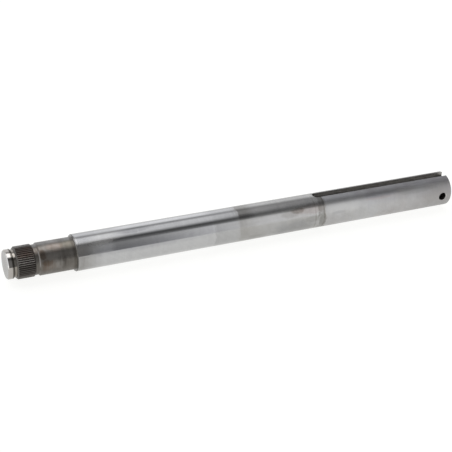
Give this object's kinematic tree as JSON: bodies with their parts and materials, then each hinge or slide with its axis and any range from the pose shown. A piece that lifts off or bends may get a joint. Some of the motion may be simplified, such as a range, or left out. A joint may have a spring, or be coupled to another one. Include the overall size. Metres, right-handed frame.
{
  "type": "axle shaft",
  "caption": "Turned steel half-shaft axle: splined end with a retaining-ring groove, stepped journal and shoulder, long ground body with an open keyway and a cross hole at the wheel end.",
  "frame": {"origin": "centre of the face at the splined end, on the shaft's axis", "axes": "+X along the shaft from the splined end to the wheel end, +Z out of the keyway, Y along the cross hole; the axis lies level, as the shaft runs in its bearings and as the picture shows it"},
  "size_m": [0.3409, 0.0254, 0.0254],
  "materials": {
    "steel": "ground and polished steel, heat-tinted brown at the spline and journal, satin round the keyway"
  },
  "bodies": {
    "root": {"axle": "steel"}
  },
  "joints": []
}
